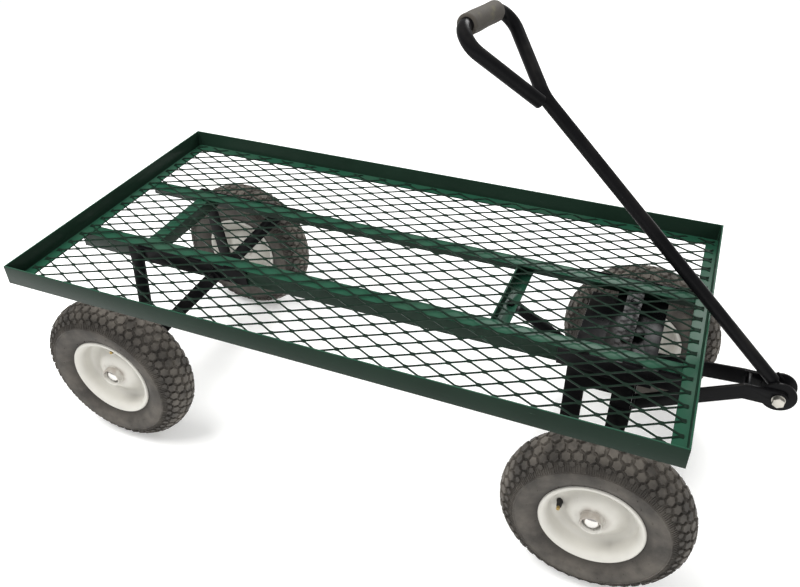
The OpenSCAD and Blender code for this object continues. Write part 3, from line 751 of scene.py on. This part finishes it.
class CART_OT_welds(CartOperator):
    """Weld beads where bars meet"""

    bl_idname = "cart.welds"
    bl_label = "Weld Beads"

    def bead(self, start, end, wide=None):
        """A run of overlapping scales from start to end."""
        wide = wide or sizes().weld_wide
        along = Vector(end) - Vector(start)
        count = max(2, round(along.length / (wide * 0.42)))
        scale = begin(
            bpy.ops.mesh.primitive_uv_sphere_add, "bead", segments=8, ring_count=5, radius=wide / 2
        )
        with editing(scale):
            bpy.ops.mesh.select_all(action="SELECT")
            bpy.ops.transform.resize(value=(0.8, 1, 1), center_override=(0, 0, 0))
        put(scale, Matrix.Translation(start) @ along.to_track_quat("X", "Z").to_matrix().to_4x4())
        modify(
            scale, "ARRAY", count=count, use_relative_offset=False, use_constant_offset=True,
            constant_offset_displace=along / (count - 1),
        )
        return scale

    def execute(self, context):
        for name, beads, body, slot, material in (
            ("deck_welds", self.frame_beads(), "frame", "green_paint", green_powder_coat()),
            ("undercarriage_welds", self.side_beads(), "frame", "black_paint", black_enamel()),
            ("truck_welds", self.truck_beads(), "truck", "black_paint", black_enamel()),
            ("handle_welds", self.fork_beads(), "handle", "black_paint", black_enamel()),
        ):
            whole = joined(name, beads)
            smooth(whole, 60)
            finish_piece(whole, body, slot, material)
        return {"FINISHED"}

    def frame_beads(self):
        """Inside corners of the deck frame, and the ends of rails and cross bars."""
        beads = []
        front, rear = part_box("rim_front"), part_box("rim_rear")
        flat_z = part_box("deck_mesh")[0].z
        for x in (rear[0].x + 0.003, front[1].x - 0.003):
            for y in (front[0].y, front[1].y):
                beads.append(self.bead((x, y, flat_z), (x, y, front[1].z - 0.004)))
        for rail in ("rail_left", "rail_right"):
            low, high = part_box(rail)
            for x in (rear[0].x + 0.025, front[1].x - 0.025):
                beads.append(self.bead((x, low.y, high.z), (x, high.y, high.z)))
        for bar in ("rear_crossbar", "front_bolster"):
            low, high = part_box(bar)
            for y in (low.y, high.y):
                beads.append(self.bead((low.x, y, high.z - 0.003), (high.x, y, high.z - 0.003)))
        return beads

    def side_beads(self):
        """Posts on their side bars, side bars on their rails."""
        beads = []
        for side in ("left", "right"):
            low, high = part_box("rear_post_" + side)
            bar_low, bar_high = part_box("rear_side_bar_" + side)
            y = bar_high.y if side == "left" else bar_low.y
            for x in (low.x, low.x + 0.030):
                beads.append(self.bead((x, y, bar_low.z + 0.002), (x, y, bar_high.z - 0.002)))
            for bar in ("rear_side_bar_", "front_side_bar_"):
                low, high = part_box(bar + side)
                y = low.y if side == "left" else high.y
                for x in (low.x + 0.02, (low.x + high.x) / 2, high.x - 0.05):
                    beads.append(self.bead((x, y, high.z), (x + 0.03, y, high.z)))
        return beads

    def truck_beads(self):
        """Tongue straps on the truck's cross bar, and the spacer between the cheeks."""
        beads = []
        for side in ("left", "right"):
            low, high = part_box("tongue_strap_" + side)
            y = high.y if side == "left" else low.y
            beads.append(self.bead((low.x, y, low.z + 0.002), (low.x, y, low.z + 0.028)))
        low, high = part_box("tongue_spacer")
        for y in (low.y, high.y):
            foot, head = (high.x, y, low.z), (high.x, y, high.z)
            beads.append(self.bead(foot, head, sizes().weld_wide * 0.7))
        return beads

    def fork_beads(self):
        """The tube's foot between the fork plates."""
        pivot = joint_place("handle_swing")
        up = handle_turn() @ Vector((1, 0, 0))
        out = handle_turn() @ Vector((0, 0, 1))
        low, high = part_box("handle_fork")
        inner = (high.y - low.y) / 2 - 0.005
        beads = []
        for y in (-inner, inner):
            for lift in (-0.0105, 0.0105):
                foot = pivot + Vector((0, y, 0)) + out * (lift - SHAFT_BACK * MM)
                beads.append(self.bead(foot + up * 0.013, foot + up * 0.028, sizes().weld_wide * 0.8))
        return beads


# outline points, in millimetres: radius from the axle, distance from the wheel's middle plane
CASING = [
    (76.2, 27), (78.5, 31.2), (84, 33.6), (89.5, 34.4), (92, 36), (97, 39.4), (104, 43.2), (113, 45.8),
    (122, 46.2), (125.2, 45.8), (126, 46.7), (127.2, 46.6), (127.9, 44.8), (133, 41.2), (139.5, 35.6),
    (146.5, 29.4), (151.6, 22), (154.9, 12), (156, 0),
]
CASING_INSIDE = [(150, 0), (147, 16), (140, 28), (128, 38), (110, 39), (98, 33), (88, 25), (78, 24)]
RIM_LINE = [
    (87, 34.6), (86.4, 35.8), (85.2, 36.3), (83, 35.7), (80, 33.4), (77.4, 30.2), (75.6, 26), (75, 20),
    (74.6, 10), (73.4, 6), (71, 3.2), (67, 1.6), (58.5, 1.6), (55, 3), (47.5, 8), (45.5, 10.4), (34, 18.6),
    (31, 19.2), (27, 21.2), (19.5, 21.6),
]
CAP_LINE = [
    (0.01, 0), (15.2, 0), (15.2, 2.2), (14.9, 3), (14.1, 4.4), (12.6, 6.2), (10.2, 8), (7, 9.3),
    (3.6, 9.9), (0.01, 10),
]
STEM_LINE = [
    (0.01, -3), (6, -3), (6, 1.2), (6.4, 2.2), (6.2, 3.4), (5.2, 4.6), (4.8, 8), (4.2, 14), (3.8, 15),
    (0.01, 15),
]
TIP_LINE = [
    (0.01, 14), (2.7, 14), (2.7, 16), (3.1, 16.4), (3.1, 20), (2.8, 20.8), (1.5, 21), (1.3, 20.2),
    (0.01, 20.2),
]

# rows of knobs: distance from the wheel's middle plane and radius of the tops in millimetres, lean in
# degrees, shift in knobs, scale
KNOB_ROWS = (
    (0, 160.8, 0, 0, 1), (17.4, 157.7, 15, 0.5, 1), (31.6, 150.4, 36, 0, 0.96), (39.4, 141, 52, 0.5, 0.6),
)
STAR_DIP = 0.78  # radius of a knob's notches, as a share of its points' radius

# other sizes, in millimetres
HUB_RECESS = 12  # depth of the hub's outer recess, which holds the cap
VALVE_X = 57  # from the axle to the valve
GRIP_HALF = 57  # half the grip's length
GRIP_THICK = 16.5  # the grip's radius
GRIP_BORE = 11.1  # the grip's inside radius
GRIP_TILT = 7.3  # slant of the grip across the loop, in degrees
SHAFT_BACK = 5  # from the clevis bolt back to the shaft's centre line


def mirrored(outline):
    """The outline's other half, back to front."""
    return [(r, -y) for r, y in reversed(outline)]


def remember_place(piece):
    """Stores each point's place on the wheel, for finishes that follow the wheel."""
    store = piece.data.attributes.new("wheel_place", "FLOAT_VECTOR", "POINT")
    store.data.foreach_set("vector", [c for v in piece.data.vertices for c in v.co])


def wheel_matrix(corner):
    """From a wheel modelled at the origin, outer side at +Y, to its corner of the cart."""
    place = joint_place("wheel_" + corner + "_spin")
    turn = 0 if place.y > 0 else math.pi
    return Matrix.Translation(place) @ Matrix.Rotation(turn, 4, "Z")


def valve_turn(corner):
    """How far the valve stands round its own wheel."""
    arm = wheel_matrix(corner).inverted() @ middle("valve_" + corner)
    return Matrix.Rotation(-math.atan2(arm.z, arm.x), 4, "Y")


def four_of(model, name, slot, material, stand_for, by_valve=False):
    """Places a copy of the model on each wheel."""
    for corner in CORNERS:
        piece = copy_of(model, name + "_" + corner)
        put(piece, wheel_matrix(corner) @ (valve_turn(corner) if by_valve else Matrix.Identity(4)))
        nodes = [node + "_" + corner for node in stand_for]
        finish_piece(piece, "wheel_" + corner, slot, material, *nodes)
    bpy.data.objects.remove(model)


class CART_OT_tyres(CartOperator):
    """Tyres with rows of star-shaped knobs, shoulder lugs and radial fins"""

    bl_idname = "cart.tyres"
    bl_label = "Tyres"

    def execute(self, context):
        outside = CASING + mirrored(CASING[:-1])
        inside = mirrored(CASING_INSIDE[1:]) + CASING_INSIDE
        casing = turned("casing", outside + inside + CASING[:1], 96)
        smooth(casing, 40)
        pitch = 360 / sizes().knobs
        parts = [casing]
        for y, radius, lean, shift, scale in KNOB_ROWS:
            for side in (1,) if y == 0 else (1, -1):
                parts.append(self.row(radius, side * y, side * lean, shift * pitch, scale))
        for side in (1, -1):
            for share in (0.12, 0.34, 0.66, 0.88):
                parts.append(self.fins(side, share * pitch))
        parts.append(self.nubs())
        tyre = joined("tyre", parts)
        remember_place(tyre)
        four_of(tyre, "tread_tyre", "tyre_rubber", dusty_rubber(), ["tyre"])
        return {"FINISHED"}

    def knob(self, wide, high):
        """A star with six points, its top a little smaller than its foot."""
        knob = begin(
            bpy.ops.mesh.primitive_circle_add, "knob", vertices=12, radius=wide / 2, fill_type="NGON"
        )
        with editing(knob) as edit:
            edit.choose(lambda v: v.index % 2)
            bpy.ops.transform.resize(value=(STAR_DIP, STAR_DIP, 1), center_override=(0, 0, 0))
            bpy.ops.mesh.select_all(action="SELECT")
            edit.extrude(0, 0, high)
            bpy.ops.transform.resize(value=(0.9, 0.9, 1), center_override=(0, 0, 0))
            edit.clean()
        return knob

    def row(self, radius, y, lean, turn, scale):
        """One ring of knobs whose tops touch the radius."""
        high = sizes().knob_high * 1.6
        knob = self.knob(sizes().knob_wide * scale, high)
        drop = Matrix.Translation((0, 0, -high))
        tilt = Matrix.Rotation(-math.radians(lean), 4, "X")
        lift = Matrix.Translation((0, y * MM, radius * MM))
        put(knob, Matrix.Rotation(math.radians(turn), 4, "Y") @ lift @ tilt @ drop)
        return ring_of(knob, sizes().knobs)

    def fins(self, side, turn):
        """Thin radial ribs below the shoulder lugs."""
        fin = begin(bpy.ops.mesh.primitive_cube_add, "fin", size=1)
        with editing(fin, "FACE") as edit:
            bpy.ops.mesh.select_all(action="SELECT")
            bpy.ops.transform.resize(value=(0.0022, 0.003, 0.016), center_override=(0, 0, 0))
            edit.choose(lambda f: f.normal.y * side > 0.9)
            bpy.ops.transform.resize(value=(0.5, 1, 0.7), center_override=(0, 0, 0))
        tilt = Matrix.Rotation(side * math.radians(40), 4, "X")
        lift = Matrix.Translation((0, side * 0.0405, 0.1335))
        put(fin, Matrix.Rotation(math.radians(turn), 4, "Y") @ lift @ tilt)
        return ring_of(fin, sizes().knobs)

    def nubs(self):
        """Small vent nubs left by the mould on both walls."""
        draw = random.Random(7)
        nubs = []
        for side in (1, -1):
            for k in range(26):
                nub = begin(
                    bpy.ops.mesh.primitive_cone_add, "nub", vertices=5, radius1=0.0009, radius2=0.0004,
                    depth=0.0034,
                )
                turn = math.tau * (k + draw.uniform(-0.25, 0.25)) / 26
                radius = draw.choice((0.093, 0.107, 0.118, 0.131))
                out = {0.093: 0.0372, 0.107: 0.0446, 0.118: 0.0466, 0.131: 0.0434}[radius]
                lay = Matrix.Rotation(-side * math.pi / 2, 4, "X")
                lift = Matrix.Translation((0, side * out, radius))
                nubs.append(put(nub, Matrix.Rotation(turn, 4, "Y") @ lift @ lay))
        return joined("nubs", nubs)


class CART_OT_rims(CartOperator):
    """Pressed rims: rolled edge, trough, stepped cone, hub collar and weld"""

    bl_idname = "cart.rims"
    bl_label = "Wheel Rims"

    def execute(self, context):
        halves = []
        for side in (1, -1):
            half = turned("half", [(r, side * y) for r, y in RIM_LINE], 96)
            if side > 0:
                self.valve_hole(half)
            modify(half, "SOLIDIFY", thickness=0.0019, offset=0)
            halves.append(half)
        weld = ring_of(self.weld_scale(), 44)
        inner_weld = copy_of(weld, "inner_weld")
        put(inner_weld, Matrix.Scale(-1, 4, (0, 1, 0)))
        with editing(inner_weld) as edit:
            edit.clean()
        rim = joined("rim", [*halves, weld, inner_weld])
        smooth(rim, 32)
        remember_place(rim)
        four_of(rim, "pressed_rim", "almond_paint", almond_enamel(), ["rim"], by_valve=True)
        return {"FINISHED"}

    def valve_hole(self, half):
        """Opens the trough where the valve comes through."""
        punch = begin(
            bpy.ops.mesh.primitive_cylinder_add, "punch", vertices=24, radius=0.0064, depth=0.02,
            location=(VALVE_X * MM, 0.004, 0), rotation=(math.pi / 2, 0, 0),
        )
        modify(half, "SOLIDIFY", thickness=0.0002, offset=0)
        modify(half, "BOOLEAN", operation="DIFFERENCE", object=punch, solver="EXACT")
        bpy.data.objects.remove(punch)

    def weld_scale(self):
        """One scale of the weld round the hub collar."""
        scale = begin(
            bpy.ops.mesh.primitive_uv_sphere_add, "scale", segments=8, ring_count=5, radius=0.002
        )
        return put(scale, Matrix.Translation((0, 0.0222, 0.0199)))


class CART_OT_hubs(CartOperator):
    """Hub tubes with a recess, and the bright caps that sit in it"""

    bl_idname = "cart.hubs"
    bl_label = "Hubs and Caps"

    def execute(self, context):
        low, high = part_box("hub_fl")
        half = (high.y - low.y) / 2 / MM
        outer = (high.z - low.z) / 2 / MM
        floor = half - HUB_RECESS
        hub = turned("hub", [
            (8.1, -half + 0.8), (9, -half), (outer - 1, -half), (outer, -half + 1), (outer, half - 1.2),
            (outer - 0.8, half), (outer - 2.2, half), (outer - 3.2, half - 1.2), (outer - 3.5, floor + 1),
            (outer - 5, floor), (9, floor), (8.1, floor - 0.8), (8.1, -half + 0.8),
        ])
        smooth(hub, 50)
        remember_place(hub)
        four_of(hub, "hub_tube", "almond_paint", almond_enamel(), ["hub"])
        for node, name, corners in (
            ("front_caps", "front_hub_caps", ("fl", "fr")), ("rear_caps", "rear_hub_caps", ("rl", "rr")),
        ):
            caps = joined(name, [self.cap(node, corner) for corner in corners])
            smooth(caps, 40)
            finish_piece(caps, body_of(node), "chrome_cap", chrome_plate(), node)
        return {"FINISHED"}

    def cap(self, node, corner):
        """A domed cap on a washer, sunk in the hub's recess."""
        low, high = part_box(node)
        top = (high.y if corner[1] == "l" else -low.y) - abs(joint_place("wheel_fl_spin").y)
        base = top / MM - CAP_LINE[-1][1]
        cap = turned("cap", [(r, y + base) for r, y in CAP_LINE], 48)
        return put(cap, wheel_matrix(corner))


class CART_OT_valves(CartOperator):
    """Rubber valve stems with brass tips"""

    bl_idname = "cart.valves"
    bl_label = "Valves"

    def execute(self, context):
        for line, name, slot, material, stand_for in (
            (STEM_LINE, "valve_stem", "valve_rubber", valve_rubber(), ["valve"]),
            (TIP_LINE, "valve_tip", "zinc_steel", brass_plate(), []),
        ):
            model = turned(name, line, 24)
            smooth(model, 40)
            put(model, Matrix.Translation((VALVE_X * MM, 0.002, 0)))
            four_of(model, name, slot, material, stand_for, by_valve=True)
        return {"FINISHED"}


def handle_turn():
    """Turns the handle's own axes, +X up the shaft and -Z to its back, to where it is parked."""
    reach = middle("handle_grip") - joint_place("handle_swing")
    length = math.hypot(reach.x, reach.z)
    lean = math.atan2(reach.z, -reach.x) - math.asin(SHAFT_BACK * MM / length)
    return Matrix.Rotation(lean - math.pi, 3, "Y")


class CART_OT_handle(CartOperator):
    """Handle tube with an open end, its fork plates and the grip"""

    bl_idname = "cart.handle"
    bl_label = "Handle"

    def execute(self, context):
        self.tube()
        fork = from_node("handle_fork", "handle_fork_plates")
        rounded(fork, sizes().bar_round * 0.8)
        smooth(fork)
        finish_piece(fork, "handle", "black_paint", black_enamel(), "handle_fork")
        self.grip()
        return {"FINISHED"}

    def tube(self):
        """One bent tube; the loop's end beside the shaft shows its wall."""
        tube = from_node("handle_tube", "handle_bent_tube")
        with editing(tube, "FACE") as edit:
            edit.choose(lambda f: len(f.verts) > 12)
            bpy.ops.mesh.inset(thickness=sizes().tube_wall, use_individual=True)
            bpy.ops.mesh.extrude_faces_move(TRANSFORM_OT_shrink_fatten={"value": -0.012})
        smooth(tube, 50)
        finish_piece(tube, "handle", "black_paint", black_enamel(), "handle_tube")

    def grip(self):
        """Thick soft sleeve with rounded ends, a little uneven along its length."""
        end = [
            (GRIP_BORE, 1 - GRIP_HALF), (GRIP_BORE + 0.5, -GRIP_HALF), (GRIP_THICK - 2.2, -GRIP_HALF),
            (GRIP_THICK - 0.8, 0.7 - GRIP_HALF), (GRIP_THICK - 0.1, 2.4 - GRIP_HALF),
        ]
        waves = [(GRIP_THICK - 0.15 * math.cos(k * 0.9), 6 - GRIP_HALF + k * 9.5) for k in range(12)]
        grip = turned("loop_grip", end + waves + mirrored(end), 48)
        with editing(grip) as edit:
            edit.choose(lambda v: math.hypot(v.co.x, v.co.z) < (GRIP_BORE + 0.1) * MM)
            bpy.ops.mesh.bridge_edge_loops()
            edit.clean()
        texture = bpy.data.textures.new("grip_dents", "CLOUDS")
        texture.noise_scale = 0.03
        modify(grip, "DISPLACE", texture=texture, strength=0.0009, mid_level=0.5)
        smooth(grip, 50)
        tilt = Matrix.Rotation(math.radians(GRIP_TILT), 4, "Z")
        put(grip, Matrix.Translation(middle("handle_grip")) @ handle_turn().to_4x4() @ tilt)
        finish_piece(grip, "handle", "grip_foam", grip_foam(), "handle_grip")


class CART_OT_stage(CartOperator):
    """Pale floor, soft light and the camera"""

    bl_idname = "cart.stage"
    bl_label = "Stage"

    def execute(self, context):
        scene = context.scene
        floor = begin(bpy.ops.mesh.primitive_plane_add, "floor", size=60)
        floor.data.materials.append(pale_floor())
        world = scene.world or bpy.data.worlds.new("studio")
        scene.world = world
        world.use_nodes = True
        backdrop = world.node_tree.nodes["Background"]
        backdrop.inputs["Color"].default_value = (1, 1, 1, 1)
        backdrop.inputs["Strength"].default_value = 0.5
        self.lamp("key", (-1.2, -1.0, 3.2), 2.0, 130).visible_glossy = False
        self.lamp("fill", (2.4, -2.6, 1.8), 1.6, 40).visible_glossy = False
        self.lamp("back", (0.4, 3.2, 2.8), 1.4, 90)
        scene.view_settings.view_transform = "Standard"
        self.camera(scene)
        return {"FINISHED"}

    def lamp(self, name, place, wide, power):
        """A large soft light that points at the cart."""
        bpy.ops.object.select_all(action="DESELECT")
        bpy.ops.object.light_add(type="AREA", location=place)
        lamp = bpy.context.object
        lamp.name = name
        lamp.data.size = wide
        lamp.data.energy = power
        lamp.rotation_euler = (-Vector(place)).to_track_quat("-Z", "Y").to_euler()
        return lamp

    def camera(self, scene):
        """A standing person's view from beside the tongue."""
        azimuth, elevation, roll = 22.70, 36.34, -0.77
        bpy.ops.object.select_all(action="DESELECT")
        bpy.ops.object.camera_add(location=(0.4510, -1.1375, 1.2214))
        camera = bpy.context.object
        turn = (
            Matrix.Rotation(math.radians(azimuth), 3, "Z")
            @ Matrix.Rotation(math.radians(90 - elevation), 3, "X")
            @ Matrix.Rotation(math.radians(roll), 3, "Z")
        )
        camera.rotation_euler = turn.to_euler()
        camera.data.sensor_width = 36
        camera.data.lens = 35.17
        camera.data.clip_start = 0.01
        scene.camera = camera


class CART_PT_panel(bpy.types.Panel):
    """Lists the cart's pieces, sizes and colours"""

    bl_label = "Garden Cart"
    bl_idname = "CART_PT_panel"
    bl_space_type = "VIEW_3D"
    bl_region_type = "UI"
    bl_category = "Cart"

    def draw(self, context):
        for step in STEPS:
            self.layout.operator(step.bl_idname)
        for group in (context.scene.cart_sizes, context.scene.cart_colours):
            box = self.layout.box()
            for name in group.bl_rna.properties.keys():
                if name not in ("rna_type", "name"):
                    box.prop(group, name)


STEPS = (
    CART_OT_stage, CART_OT_bars, CART_OT_mesh, CART_OT_welds, CART_OT_tyres, CART_OT_rims, CART_OT_hubs,
    CART_OT_valves, CART_OT_handle,
)
CLASSES = (CartSizes, CartColours, *STEPS, CART_PT_panel)


def register():
    """Registers the classes and the scene's settings."""
    for made in CLASSES:
        bpy.utils.register_class(made)
    bpy.types.Scene.cart_sizes = bpy.props.PointerProperty(type=CartSizes)
    bpy.types.Scene.cart_colours = bpy.props.PointerProperty(type=CartColours)


def unregister():
    """Takes the settings and classes away again."""
    del bpy.types.Scene.cart_colours
    del bpy.types.Scene.cart_sizes
    for made in reversed(CLASSES):
        bpy.utils.unregister_class(made)


def main():
    """Builds the cart."""
    register()
    for step in STEPS:
        group, name = step.bl_idname.split(".")
        getattr(getattr(bpy.ops, group), name)()


if __name__ == "__main__":
    main()
